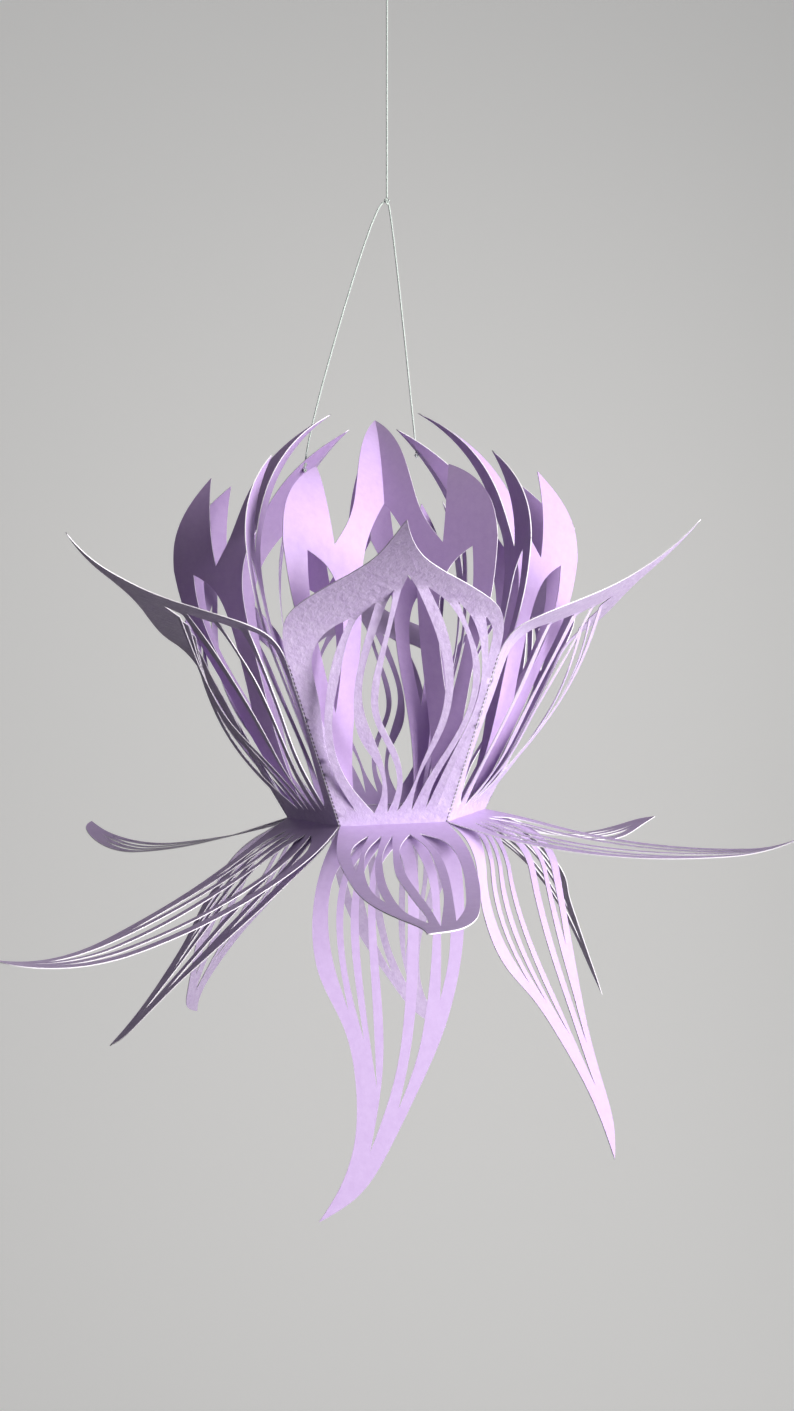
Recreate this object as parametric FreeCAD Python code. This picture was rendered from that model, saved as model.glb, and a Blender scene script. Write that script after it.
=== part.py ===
import FreeCAD, Part
import math
import os

# Paper lotus lantern: six folded cup panels with curled leaves round a hexagon floor, six
# hanging leaves under it, six pinched flame petals standing inside the cup, and a thread
# that hangs it. Every sheet is a flat cut-out that is bent along straight lines, so each
# one is written as its flat outline (across, up) plus the runs of its bend.

os.makedirs("parts", exist_ok=True)
V = FreeCAD.Vector

# ---------------------------------------------------------------- driving dimensions (mm)
base_side = 36.0            # side of the hexagon floor
card = 0.3                  # thickness of every sheet
glue_line = 0.05            # gap between two glued sheets
corner_gap = 0.13           # each panel stops this short of the corner fold
crease_raise = 0.5          # the cup creases sit this far above the middle of the floor
hang_tilt = 2.0             # the flower hangs tilted this much, right side up (degrees)
root = card / 2.0           # a sheet starts this far behind its crease
weld = 1e-4                 # tolerance where two cuts of one sheet are joined

apothem = base_side * math.cos(math.radians(30.0))
half_base = base_side / 2.0

# cup panel: a straight wall up to the fold top, then a free curl
panel_lean = 25.3
fold_top = 60.5             # length of the straight wall
fold_top_half = (apothem + fold_top * math.sin(math.radians(panel_lean))) * math.tan(math.radians(30.0))
panel_tip = 131.0
panel_curls = {             # face angle: runs of the free curl (length, turn)
    0: [(17.0, 25.0), (57.5, 40.0)],
    60: [(14.0, 40.0), (38.0, -10.0), (20.0, -12.0)],
    120: [(14.0, 14.0), (38.0, 0.0), (20.0, -4.0)],
    180: [(14.0, 30.0), (38.0, -4.0), (20.0, -16.0)],
    240: [(14.0, -4.0), (38.0, -8.0), (20.0, -2.0)],
    300: [(14.0, 38.0), (40.0, -6.0), (18.0, -25.0)],
}
tendril_bows = {0: 4.0, 60: 3.5, 120: 3.5, 180: 4.0, 240: 4.5, 300: 3.5}   # face angle: free bow
tab_width = 5.0
tab_start, tab_end = 5.0, 54.0
tab_slope = 5.0

# curled leaf below each cup crease: lean at the crease, swing of the bend axis, runs
leaf_length = 114.0
leaf_bends = {
    0: (119.5, 0.0, [(21.6, -20.0), (92.4, -15.0)]),
    60: (103.5, -7.4, [(20.0, 0.0), (70.0, -18.0), (20.0, -24.0)]),
    120: (112.0, -3.0, [(14.0, 0.0), (60.0, -16.0), (36.0, -24.0)]),
    180: (116.0, 3.0, [(14.0, 0.0), (60.0, -18.0), (36.0, -20.0)]),
    240: (107.0, 4.0, [(14.0, 0.0), (60.0, -12.0), (36.0, -34.0)]),
    300: (122.0, 3.6, [(8.0, 0.0), (69.0, -18.6), (36.0, -30.0)]),
}

# hanging leaf on each side of the floor: lean at the crease, swing of the bend axis, runs
hanging_length = 120.0
hanging_bends = {
    0: (124.3, 0.0, [(8.0, 0.0), (29.6, 33.1), (78.0, 13.6)]),
    60: (110.0, -18.0, [(8.0, 0.0), (20.0, 66.0), (90.0, -34.0)]),
    120: (114.0, -31.0, [(8.0, 0.0), (50.0, 40.0), (44.0, 21.0)]),
    180: (122.0, 0.0, [(8.0, 0.0), (30.0, 38.0), (80.0, 6.0)]),
    240: (118.0, -14.0, [(8.0, 0.0), (26.0, 30.0), (86.0, -10.0)]),
    300: (126.5, -35.0, [(8.0, 0.0), (48.0, 14.0), (42.0, 8.0)]),
}
hanging_share = {120: 0.83, 300: 0.8}       # two of them are cut this much shorter

# flame petal: two halves pinched along the middle crease
pinch = 32.0                # each half turns this far from the face
petal_reach = 15.48         # distance of each half's foot line from the axis
petal_foot = 0.26           # its stems stand this high above the middle of the floor
stem_run, middle_run, lobe_run = 57.6, 36.0, 61.4
tall_turn = -55.0
petal_lean = 17.0
petal_set = {               # face angle: swing about the axis, turns of the middle, left and right lobe
    0: (0.0, -20.0, -96.0, -96.0),
    60: (3.0, -14.0, -58.0, -36.0),
    120: (1.5, -19.0, -42.0, -42.0),
    180: (0.0, -20.0, -52.0, -52.0),
    240: (-1.5, -19.0, -42.0, -42.0),
    300: (-3.0, -14.0, -36.0, -58.0),
}

# thread: one line from the ceiling hook to the knot, two legs from the knot to the petals
thread_radius = 0.35
knot_radius = 1.2
clear = 0.05                # each thread ends this far off the round side of its knot
knot_height = 223.5         # above the middle of the floor
ceiling_height = 324.0
eye_radius = 0.65           # hole in a petal for the thread
knot_drop = 1.0             # an end knot sits this far below its eye
end_knot_radius = 0.9
thread_eyes = {             # face angle of the petal: from its crease, up
    120: (2.6, 144.0),
    240: (4.2, 137.0),
}

# ceiling hook, measured down from the ceiling
plate_radius, plate_thickness = 8.0, 1.6
hook_wire = 1.1             # radius of its wire
hook_ring = 5.0             # radius of its bend
hook_neck = 2.5             # radius of the two small bends above it
loop_half = hook_wire + thread_radius + 0.25
hook_knot_gap = 7.5         # from the bottom of the hook's bend to the knot below it


# ---------------------------------------------------------------- bent sheets
def path_at(runs, s):
    """Middle line of a bent sheet: forward, rise and slope (radians) at the flat length s."""
    w, h, a, done = 0.0, 0.0, 0.0, 0.0
    if s <= 0.0:
        return s, 0.0, 0.0
    for length, turn in runs + [(1000.0, 0.0)]:
        step = min(length, s - done)
        full = math.radians(turn)
        b = a + full * step / length
        if abs(full) < 1e-9:
            w, h = w + step * math.cos(a), h - step * math.sin(a)
        else:
            rad = length / full
            w, h = w + rad * (math.sin(b) - math.sin(a)), h + rad * (math.cos(b) - math.cos(a))
        a, done = b, done + step
        if s - done < 1e-9:
            return w, h, a
    return w, h, a


class Sheet:
    """A flat sheet standing on a horizontal foot line, bent along straight lines."""

    def __init__(self, azimuth, reach, height, lean, runs, swing=0.0, lift=0.0):
        az, le, sw = math.radians(azimuth), math.radians(lean), math.radians(swing)
        outward = V(math.sin(az), -math.cos(az), 0)
        across = V(math.cos(az), math.sin(az), 0)
        along = outward * math.sin(le) + V(0, 0, math.cos(le))
        self.face = V(0, 0, math.sin(le)) - outward * math.cos(le)
        self.origin = outward * reach + V(0, 0, height) + self.face * lift
        self.forward = along * math.cos(sw) + across * math.sin(sw)
        self.sideways = across * math.cos(sw) - along * math.sin(sw)
        self.runs, self.sw, self.le = runs, sw, le
        total = sum(turn for length, turn in runs)
        self.aim = math.radians(total / 2.0)
        self.flat = self.forward * math.cos(self.aim) - self.face * math.sin(self.aim)
        self.look = self.forward * math.sin(self.aim) + self.face * math.cos(self.aim)

    def turned(self, u, s):
        """Flat position measured along and across the bend axis."""
        c, n = math.cos(self.sw), math.sin(self.sw)
        return u * c - s * n, s * c + u * n

    def point(self, u, s, off=0.0):
        """Point of the bent sheet, off the middle surface by the given distance."""
        side, ahead = self.turned(u, s)
        w, h, a = path_at(self.runs, ahead)
        w, h = w + off * math.sin(a), h + off * math.cos(a)
        return self.origin + self.sideways * side + self.forward * w + self.face * h

    def square_on(self, u, s):
        """The same point seen square-on, in the plane that looks along the mean bend."""
        side, ahead = self.turned(u, s)
        w, h, a = path_at(self.runs, ahead)
        q = w * math.cos(self.aim) - h * math.sin(self.aim)
        return self.origin + self.sideways * side + self.flat * q

    def out(self, s):
        """Horizontal distance of the middle line from the foot line."""
        w, h, a = path_at(self.runs, s)
        return w * math.sin(self.le) - h * math.cos(self.le)

    def strip(self, span):
        """The whole bent strip, as wide as span, with straight ends beyond the runs."""
        ends, here = [-30.0], 0.0
        for length, turn in self.runs:
            if turn:
                ends.append(here)
            here += length
            if turn:
                ends.append(here)
        ends = sorted(set(ends + [here + 30.0]))
        edges = []
        for off in (root, -root):
            for s0, s1 in zip(ends, ends[1:]):
                p = [self.edge_point(s, off) for s in (s0, (s0 + s1) / 2.0, s1)]
                bent = (p[1] - (p[0] + p[2]) * 0.5).Length > 1e-6
                edges.append(Part.Arc(*p).toShape() if bent else Part.makeLine(p[0], p[2]))
        for s in (ends[0], ends[-1]):
            edges.append(Part.makeLine(self.edge_point(s, root), self.edge_point(s, -root)))
        face = Part.Face(Part.Wire(Part.__sortEdges__(edges)))
        face.translate(self.sideways * (-span / 2.0))
        return face.extrude(self.sideways * span)

    def edge_point(self, s, off):
        w, h, a = path_at(self.runs, s)
        w, h = w + off * math.sin(a), h + off * math.cos(a)
        return self.origin + self.forward * w + self.face * h

    def wire(self, strokes):
        """Closed outline from strokes of flat points; two points make a straight edge."""
        edges = []
        for stroke in strokes:
            p = [self.square_on(u, s) for u, s in stroke]
            if len(p) == 2:
                edges.append(Part.makeLine(p[0], p[1]))
            else:
                curve = Part.BSplineCurve()
                curve.interpolate(p)
                edges.append(curve.toShape())
        return Part.Wire(edges)

    def cut(self, outline, slots=(), deep=90.0):
        """The bent sheet cut to its outline, with its slots open."""
        wires = [self.wire(outline)] + [self.wire(slot) for slot in slots]
        face = Part.makeFace(wires, "Part::FaceMakerBullseye")
        face.translate(self.look * (-deep))
        prism = face.extrude(self.look * (2.0 * deep))
        return self.strip(240.0).common(prism)


def mirrored(points):
    """The same stroke on the other side, walked backwards."""
    return [(-u, s) for u, s in reversed(points)]


def one_solid(shape, name):
    solids = shape.Solids
    print(name, "solids", len(solids), "volume %.1f" % shape.Volume, "valid", shape.isValid())
    return solids[0] if len(solids) == 1 else shape


def tilted(point):
    """A point of the flower where it hangs, tilted about the middle of its floor."""
    return FreeCAD.Rotation(V(0, 1, 0), -hang_tilt).multVec(point)


def tilt(shape):
    """Hang the flower a little to one side about the middle of its floor."""
    turned = shape.copy()
    turned.rotate(V(0, 0, 0), V(0, 1, 0), -hang_tilt)
    return turned


# ---------------------------------------------------------------- cup panel with leaf and tab
def half_wall(s):
    return half_base + (fold_top_half - half_base) * s / fold_top


side_top = (fold_top_half - corner_gap, fold_top)
panel_side = [side_top, (33.7, 67.0), (32.0, 77.0), (25.5, 84.8), (14.5, 94.5)]
panel_beak = [(14.5, 94.5), (7.6, 102.5), (4.0, 110.5), (1.5, 121.0), (0.0, panel_tip)]
panel_outline = [
    [(-half_base + corner_gap, -root), (half_base - corner_gap, -root)],
    [(half_base - corner_gap, -root), side_top],
    panel_side,
    panel_beak,
    mirrored(panel_beak),
    mirrored(panel_side),
    [(-side_top[0], side_top[1]), (-half_base + corner_gap, -root)],
]

# The window of a cup panel is what is left open between six wavy tendrils. Each slot is
# written as its left edge and its right edge, both from its top point to its bottom point.
tendril_slots = [
    ([(-13.5, 75.2), (-20.0, 70.8), (-25.0, 62.0), (-23.6, 48.0), (-22.6, 37.0), (-19.6, 21.0), (-11.9, 4.8)],
     [(-13.5, 75.2), (-18.3, 64.2), (-21.0, 52.0), (-22.0, 38.0), (-18.9, 20.6), (-11.9, 4.8)]),
    ([(-5.7, 82.0), (-11.6, 74.6), (-16.6, 59.0), (-19.6, 41.0), (-15.2, 19.2), (-6.4, 4.6)],
     [(-5.7, 82.0), (-8.3, 73.5), (-12.6, 53.5), (-11.1, 36.6), (-5.1, 23.9), (-4.2, 12.0), (-6.4, 4.6)]),
    ([(-0.6, 87.2), (-4.4, 76.5), (-8.6, 63.9), (-10.2, 50.0), (-4.6, 29.5), (-2.2, 14.0), (-2.0, 4.6)],
     [(-0.6, 87.2), (-3.2, 74.0), (-6.9, 59.1), (-7.3, 47.0), (-1.8, 31.3), (0.9, 16.6), (-2.0, 4.6)]),
    ([(3.2, 94.4), (0.4, 83.0), (-4.7, 59.1), (-5.0, 46.0), (0.5, 31.2), (2.6, 15.0), (1.2, 4.8)],
     [(3.2, 94.4), (8.0, 83.5), (14.4, 63.0), (14.7, 49.0), (8.3, 25.2), (4.2, 11.0), (1.2, 4.8)]),
    ([(9.1, 88.4), (14.2, 77.0), (17.4, 60.0), (15.6, 41.7), (7.8, 19.5), (6.0, 4.8)],
     [(9.1, 88.4), (18.3, 77.5), (23.5, 62.0), (22.0, 44.5), (11.2, 19.9), (6.0, 4.8)]),
    ([(18.8, 81.2), (23.0, 70.6), (25.7, 61.0), (24.6, 47.0), (18.0, 29.4), (12.7, 16.0), (10.7, 5.2)],
     [(18.8, 81.2), (24.2, 73.0), (26.7, 62.6), (25.6, 48.0), (19.3, 30.4), (14.4, 16.6), (10.7, 5.2)]),
    ([(27.6, 75.0), (28.3, 69.9), (28.7, 61.0), (27.4, 48.0), (21.9, 31.6), (14.3, 5.7)],
     [(27.6, 75.0), (30.2, 69.9), (29.7, 61.0), (28.3, 48.0), (23.0, 31.6), (14.3, 5.7)]),
]

tendril_card = 0.26         # a tendril's thickness, just inside the card's at its two roots
tendril_root = 0.9          # it is rooted this deep in the panel
tendril_most = 3.0          # widest that a root is drawn
tendril_stations = 10

leaf_left = [(-half_base + corner_gap, -root), (-18.6, 4.0), (-19.4, 14.0), (-17.6, 38.0), (-12.9, 67.7),
             (-4.6, 94.6), (-1.4, 108.0), (-1.4, leaf_length)]
leaf_right = [(-1.4, leaf_length), (4.8, 111.0), (9.6, 104.0), (15.7, 82.1), (19.6, 58.0), (22.0, 30.0),
              (20.8, 8.5), (half_base - corner_gap, -root)]
leaf_outline = [[(half_base - corner_gap, -root), (-half_base + corner_gap, -root)], leaf_left, leaf_right]
leaf_slots = [
    ([(-8.7, 6.4), (-13.4, 12.0), (-15.0, 24.2), (-14.3, 36.0)],
     [(-8.7, 6.4), (-11.7, 17.3), (-12.9, 26.7), (-14.3, 36.0)]),
    ([(-4.5, 6.8), (-8.8, 14.1), (-11.4, 28.0), (-11.6, 47.0), (-10.2, 61.0), (-7.7, 71.0)],
     [(-4.5, 6.8), (-6.8, 20.0), (-8.3, 33.0), (-8.8, 47.5), (-8.5, 60.0), (-7.7, 71.0)]),
    ([(-1.0, 7.1), (-4.0, 15.5), (-5.9, 31.0), (-6.2, 48.0), (-5.3, 68.0), (-3.1, 85.7), (0.6, 99.0)],
     [(-1.0, 7.1), (-2.1, 23.8), (-2.6, 42.0), (-1.2, 58.0), (0.2, 75.0), (1.0, 88.0), (0.6, 99.0)]),
    ([(4.9, 6.5), (1.9, 12.0), (0.1, 24.0), (0.4, 43.0), (1.8, 60.0), (3.0, 80.0), (2.9, 104.0)],
     [(4.9, 6.5), (8.5, 13.4), (10.1, 27.0), (9.8, 45.0), (8.6, 64.0), (5.9, 84.0), (2.9, 104.0)]),
    ([(8.2, 6.4), (11.0, 14.4), (12.7, 26.0), (12.6, 43.0), (11.0, 64.0), (7.4, 98.0)],
     [(8.2, 6.4), (14.9, 11.5), (17.9, 24.0), (17.2, 43.0), (15.0, 62.0), (11.6, 83.0), (7.4, 98.0)]),
]


def pairs(slots):
    """Closed wires from left and right edges."""
    return [[left, list(reversed(right))] for left, right in slots]


def across_at(stroke, s):
    """Where an edge of a slot lies across the sheet at the flat height s."""
    for (u0, s0), (u1, s1) in zip(stroke, stroke[1:]):
        if s0 >= s >= s1:
            return u1 + (u0 - u1) * (s - s1) / (s0 - s1)
    return stroke[0][0] if s > stroke[0][1] else stroke[-1][0]


def tendril(panel, left, right, bow):
    """Strip between two slots, pulled straight between its roots and bowed a little outwards."""
    low, high = max(left[-1][1], right[-1][1]), min(left[0][1], right[0][1])
    low_w, low_h, low_a = path_at(panel.runs, low)
    high_w, high_h, high_a = path_at(panel.runs, high)
    sections = []
    for k in range(-1, tendril_stations + 1):
        t = min(max(k / (tendril_stations - 1.0), 0.0), 1.0)
        s = low + (high - low) * t
        if k < 0:
            s = low - tendril_root
        if k == tendril_stations:
            s = high + tendril_root
        w, h, a = path_at(panel.runs, s)
        if 0.0 < t < 1.0:
            w = low_w + (high_w - low_w) * t
            h = low_h + (high_h - low_h) * t - bow * math.sin(math.pi * t)
            a = math.atan2(low_h - high_h + bow * math.pi * math.cos(math.pi * t), high_w - low_w)
        middle = (across_at(left, s) + across_at(right, s)) / 2.0
        half = min((across_at(right, s) - across_at(left, s)) / 2.0, tendril_most / 2.0)
        thick = (panel.forward * math.sin(a) + panel.face * math.cos(a)) * (tendril_card / 2.0)
        line = panel.origin + panel.sideways * middle + panel.forward * w + panel.face * h
        side = panel.sideways * half
        spots = [line - side - thick, line + side - thick, line + side + thick, line - side + thick]
        sections.append(Part.makePolygon(spots + spots[:1]))
    return Part.makeLoft(sections, True, True)


def outer_petal(angle):
    panel = Sheet(angle, apothem, crease_raise, panel_lean, [(fold_top, 0.0)] + panel_curls[angle])
    first, last = tendril_slots[0][0], tendril_slots[-1][1]
    feet = [left[-1] for left, right in tendril_slots]
    heads = [left[0] for left, right in reversed(tendril_slots)]
    window = [first] + [list(side) for side in zip(feet, feet[1:])] + [list(reversed(last))]
    window += [list(side) for side in zip(heads, heads[1:])]
    petal = panel.cut(panel_outline, [window])
    strips = [tendril(panel, left[1], right[0], tendril_bows[angle])
              for left, right in zip(tendril_slots, tendril_slots[1:])]
    petal = petal.fuse(strips)
    lean, swing, bends = leaf_bends[angle]
    leaf = Sheet(angle, apothem, crease_raise, lean, bends, swing)
    petal = petal.fuse(leaf.cut(leaf_outline, pairs(leaf_slots)))
    # the glue tab lies behind the panel on the right, one card and one glue line inside it
    behind = Sheet(angle + 60, apothem, crease_raise, panel_lean, [(fold_top, 0.0)], 0.0, card + glue_line)
    inner = tab_width
    turn_in = 0.4
    corners = [
        (-half_wall(tab_start) - turn_in, tab_start),
        (-half_wall(tab_start + tab_slope) + inner, tab_start + tab_slope),
        (-half_wall(tab_end - tab_slope) + inner, tab_end - tab_slope),
        (-half_wall(tab_end) - turn_in, tab_end),
    ]
    tab = behind.cut([[corners[i], corners[(i + 1) % 4]] for i in range(4)])
    return petal.fuse(tab)


# ---------------------------------------------------------------- floor with hanging leaves
hang_left = [(-half_base + corner_gap, -root), (-19.6, 4.0), (-24.6, 18.0), (-27.8, 35.0), (-26.0, 52.6),
             (-19.6, 67.0), (-16.6, 84.0), (-18.0, 100.5), (-22.9, 112.0), (-28.7, hanging_length)]
hang_right = [(-28.7, hanging_length), (-16.8, 113.4), (-7.8, 102.0), (1.7, 86.0), (9.8, 71.0), (15.4, 56.0),
              (18.6, 42.0), (20.0, 26.0), (19.6, 8.0), (half_base - corner_gap, -root)]
hang_outline = [[(half_base - corner_gap, -root), (-half_base + corner_gap, -root)], hang_left, hang_right]
hang_slots = [
    ([(-12.6, 9.5), (-19.5, 19.0), (-22.8, 32.0), (-21.9, 48.0), (-17.9, 62.4)],
     [(-12.6, 9.5), (-17.8, 21.0), (-20.2, 32.0), (-20.1, 47.0), (-17.9, 62.4)]),
    ([(-8.6, 9.5), (-14.8, 19.0), (-18.0, 32.0), (-17.9, 50.0), (-13.6, 71.2)],
     [(-8.6, 9.5), (-13.0, 20.0), (-15.7, 32.0), (-15.8, 50.0), (-13.6, 71.2)]),
    ([(-5.0, 9.5), (-10.6, 19.0), (-13.3, 32.0), (-13.4, 52.0), (-10.5, 84.5)],
     [(-5.0, 9.5), (-8.6, 20.0), (-10.4, 32.0), (-10.6, 54.0), (-10.5, 84.5)]),
    ([(0.2, 9.5), (-6.0, 19.0), (-8.2, 32.0), (-8.0, 54.0), (-8.3, 78.0), (-13.2, 102.0)],
     [(0.2, 9.5), (2.0, 20.0), (1.6, 38.0), (-0.6, 60.0), (-5.0, 82.0), (-13.2, 102.0)]),
    ([(5.4, 9.5), (6.0, 22.0), (5.0, 38.0), (3.0, 58.0), (0.0, 75.0), (-4.4, 90.8)],
     [(5.4, 9.5), (9.0, 22.0), (9.0, 42.0), (6.2, 60.0), (1.8, 77.0), (-4.4, 90.8)]),
    ([(9.8, 9.5), (12.0, 22.0), (11.9, 36.0), (11.0, 50.0), (9.9, 60.6)],
     [(9.8, 9.5), (14.8, 20.0), (15.2, 34.0), (13.4, 49.0), (9.9, 60.6)]),
]


def shortened(strokes, share):
    """The same strokes on a leaf that is cut shorter."""
    return [[(u, s * share) for u, s in stroke] for stroke in strokes]


def base_star():
    corners = [V(base_side * math.sin(math.radians(30 + 60 * k)), -base_side * math.cos(math.radians(30 + 60 * k)),
                 -root) for k in range(6)]
    floor = Part.Face(Part.makePolygon(corners + corners[:1])).extrude(V(0, 0, card))
    for angle, (lean, swing, bends) in hanging_bends.items():
        leaf = Sheet(angle, apothem, 0.0, lean, bends, swing)
        share = hanging_share.get(angle, 1.0)
        slots = [shortened(slot, share) for slot in pairs(hang_slots)]
        floor = floor.fuse(leaf.cut(shortened(hang_outline, share), slots))
    return floor


# ---------------------------------------------------------------- flame petals
# (from the middle crease, up) of one half; the other half is its mirror image
crotch, notch, notch_half = 109.0, 93.6, 20.0
lobe_root_half = 38.4
tall_tip, short_tip = 154.0, 126.0
flame_slit = ([(30.0, 91.5), (29.9, 82.0), (27.0, 62.0), (21.5, 40.0)],
              [(30.0, 91.5), (22.4, 86.0), (18.8, 78.0), (18.3, 60.0), (21.5, 40.0)])
flame_body = [
    [(14.5, 0.0), (17.0, 0.0)],
    [(17.0, 0.0), (23.0, 20.0), (27.0, 38.0), (30.5, 57.0), (35.5, 75.0), (lobe_root_half, notch)],
    [(lobe_root_half, notch), (notch_half, notch)],
    [(notch_half, notch), (13.8, 103.0), (10.8, 114.0), (8.8, 126.0), (5.9, 138.0), (2.4, 148.0), (-0.6, tall_tip)],
    [(-0.6, tall_tip), (-0.6, crotch)],
    [(-0.6, crotch), (6.0, 99.0), (9.6, 88.0), (10.6, 75.0), (11.6, 60.0), (14.2, 40.0), (15.6, 18.0), (14.5, 0.0)],
]
flame_lobe = [
    [(notch_half, notch), (lobe_root_half, notch)],
    [(lobe_root_half, notch), (37.6, 104.0), (33.4, 115.0), (25.5, short_tip)],
    [(25.5, short_tip), (23.6, 116.0), (21.8, 105.0), (notch_half, notch)],
]


def petal_half(angle, last):
    """The half on the right of a petal's middle crease, its top run turned by last."""
    swing, middle, left, right = petal_set[angle]
    runs = [(stem_run, 0.0), (middle_run, middle), (lobe_run, last)]
    return Sheet(angle + swing - pinch, petal_reach, petal_foot, petal_lean, runs)


def from_crease(sheet, strokes):
    """Strokes drawn from the middle crease, moved to the half's own foot line."""
    slope = math.tan(math.radians(pinch))
    return [[(v + slope * (petal_reach + sheet.out(s)), s) for v, s in stroke] for stroke in strokes]


def inner_petal(angle):
    swing, middle, left, right = petal_set[angle]
    room = Part.makeBox(200, 400, 400, V(0, -200, -100))
    room.rotate(V(0, 0, 0), V(0, 0, 1), angle + swing)
    body = petal_half(angle, tall_turn)
    half = body.cut(from_crease(body, flame_body), [from_crease(body, pairs([flame_slit])[0])])

    def with_lobe(turn):
        sheet = petal_half(angle, turn)
        return half.fuse([sheet.cut(from_crease(sheet, flame_lobe))], weld).common(room)

    az = math.radians(angle + swing)
    across = V(math.cos(az), math.sin(az), 0)
    petal = tilt(with_lobe(right).fuse(with_lobe(left).mirror(V(0, 0, 0), across)))
    if angle in thread_eyes:
        petal = petal.cut(Part.makeCylinder(eye_radius, 8.0, eye(angle) - leg_end(angle) * 4.0, leg_end(angle)))
    return petal


# ---------------------------------------------------------------- thread, knots and hook
def eye(angle):
    """Middle of the hole that the thread passes through, on the right half of a petal."""
    away, up = thread_eyes[angle]
    sheet = petal_half(angle, tall_turn)
    (u, s), = from_crease(sheet, [[(away, up)]])[0]
    return tilted(sheet.point(u, s))


def leg_route(angle):
    """From beside the knot to the end knot under the petal, as straight runs."""
    hole, middle = eye(angle), V(0, 0, knot_height)
    if angle == 240:
        points = [V(-4.4, 0.3, knot_height - 1.0), hole + V(0.4, -0.9, 10.0)]
    else:
        points = [V(1.9, 0.5, knot_height - 3.7)]
    start = middle + (points[0] - middle).normalize() * (knot_radius + clear)
    below = (hole - points[-1]).normalize() * knot_drop
    return [start] + points + [hole + below]


def leg_end(angle):
    """Direction in which the thread goes through its eye."""
    route = leg_route(angle)
    return (route[-1] - route[-2]).normalize()


def cord(points, name):
    """Tube along straight runs joined by tangent arcs, each as large as its runs allow."""
    edges, here, length, radii = [], points[0], 0.0, []
    for before, corner, after in zip(points, points[1:], points[2:]):
        back, on = (before - corner).normalize(), (after - corner).normalize()
        shorter = min((before - corner).Length, (after - corner).Length)
        half_turn = (math.pi - back.getAngle(on)) / 2.0
        radius = 0.45 * shorter / math.tan(half_turn)
        start, end = corner + back * (0.45 * shorter), corner + on * (0.45 * shorter)
        middle = corner + (back + on).normalize() * (radius / math.cos(half_turn) - radius)
        edges += [Part.LineSegment(here, start).toShape(), Part.Arc(start, middle, end).toShape()]
        here = end
        radii.append(radius)
    edges.append(Part.LineSegment(here, points[-1]).toShape())
    path = Part.Wire(edges)
    across = Part.Wire(Part.makeCircle(thread_radius, points[0], points[1] - points[0]))
    tube = path.makePipeShell([across], True, False)
    wanted = math.pi * thread_radius ** 2 * path.Length
    print(name, "length %.1f" % path.Length, "volume %.2f of %.2f" % (tube.Volume, wanted),
          "radii", ["%.1f" % r for r in radii])
    return tube


def hang(shape):
    """Move a piece so that the origin is where the hook's plate meets the ceiling."""
    return shape.translated(V(0, 0, -ceiling_height))


hook_bottom = ceiling_height - plate_thickness - 2.0 * hook_neck - 2.0 - hook_ring
hook_knot_height = hook_bottom - hook_knot_gap


def ceiling_hook():
    """Round plate with a bent wire hook whose bend is under the middle of the plate."""
    top = ceiling_height - plate_thickness
    z = top - 2.0
    ring = z - 2.0 * hook_neck
    quarter = hook_neck * math.sqrt(0.5)
    tip = math.radians(35.0)
    path = Part.Wire([
        Part.makeLine(V(0, 0, top + 0.8), V(0, 0, z)),
        Part.Arc(V(0, 0, z), V(-hook_neck + quarter, 0, z - quarter), V(-hook_neck, 0, z - hook_neck)).toShape(),
        Part.Arc(V(-hook_neck, 0, z - hook_neck), V(-hook_neck - quarter, 0, ring + quarter),
                 V(-2.0 * hook_neck, 0, ring)).toShape(),
        Part.Arc(V(-hook_ring, 0, ring), V(0, 0, ring - hook_ring),
                 V(hook_ring * math.cos(tip), 0, ring + hook_ring * math.sin(tip))).toShape(),
    ])
    wire = path.makePipeShell([Part.Wire(Part.makeCircle(hook_wire, V(0, 0, top + 0.8), V(0, 0, 1)))], True, False)
    plate = Part.makeCylinder(plate_radius, plate_thickness, V(0, 0, top))
    rim = [edge for edge in plate.Edges if abs(edge.BoundBox.ZMax - top) < 1e-6 and edge.Closed]
    return plate.makeFillet(plate_thickness / 2.0, rim).fuse(wire)


def hook_loop_route():
    low, high = hook_knot_height + knot_radius, hook_bottom + loop_half + 0.05
    side = [V(0, -0.6, low), V(0, -loop_half, low + 3.6), V(0, -loop_half, high)]
    return side + [V(0, -p.y, p.z) for p in reversed(side)]


def knot(place, radius):
    return Part.makeSphere(radius, place)


def export(shape, name):
    one_solid(hang(shape), name).exportStep("parts/%s.step" % name)


for number, angle in enumerate(sorted(panel_curls)):
    export(tilt(outer_petal(angle)), "outer_petal_%d" % (number + 1))
export(tilt(base_star()), "base_star")
for number, angle in enumerate(sorted(petal_set)):
    export(inner_petal(angle), "inner_petal_%d" % (number + 1))

export(knot(V(0, 0, knot_height), knot_radius), "thread_knot")
export(knot(V(0, 0, hook_knot_height), knot_radius), "hook_knot")
for angle, side in ((240, "left"), (120, "right")):
    route = leg_route(angle)
    export(cord(route, side + "_thread"), side + "_thread")
    export(knot(route[-1] + leg_end(angle) * (end_knot_radius + clear), end_knot_radius), side + "_end_knot")
straight = hook_knot_height - knot_height - 2.0 * (knot_radius + clear)
foot = V(0, 0, knot_height + knot_radius + clear)
export(Part.makeCylinder(thread_radius, straight, foot), "hanging_thread")
export(cord(hook_loop_route(), "hook_loop"), "hook_loop")
export(ceiling_hook(), "ceiling_hook")
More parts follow.
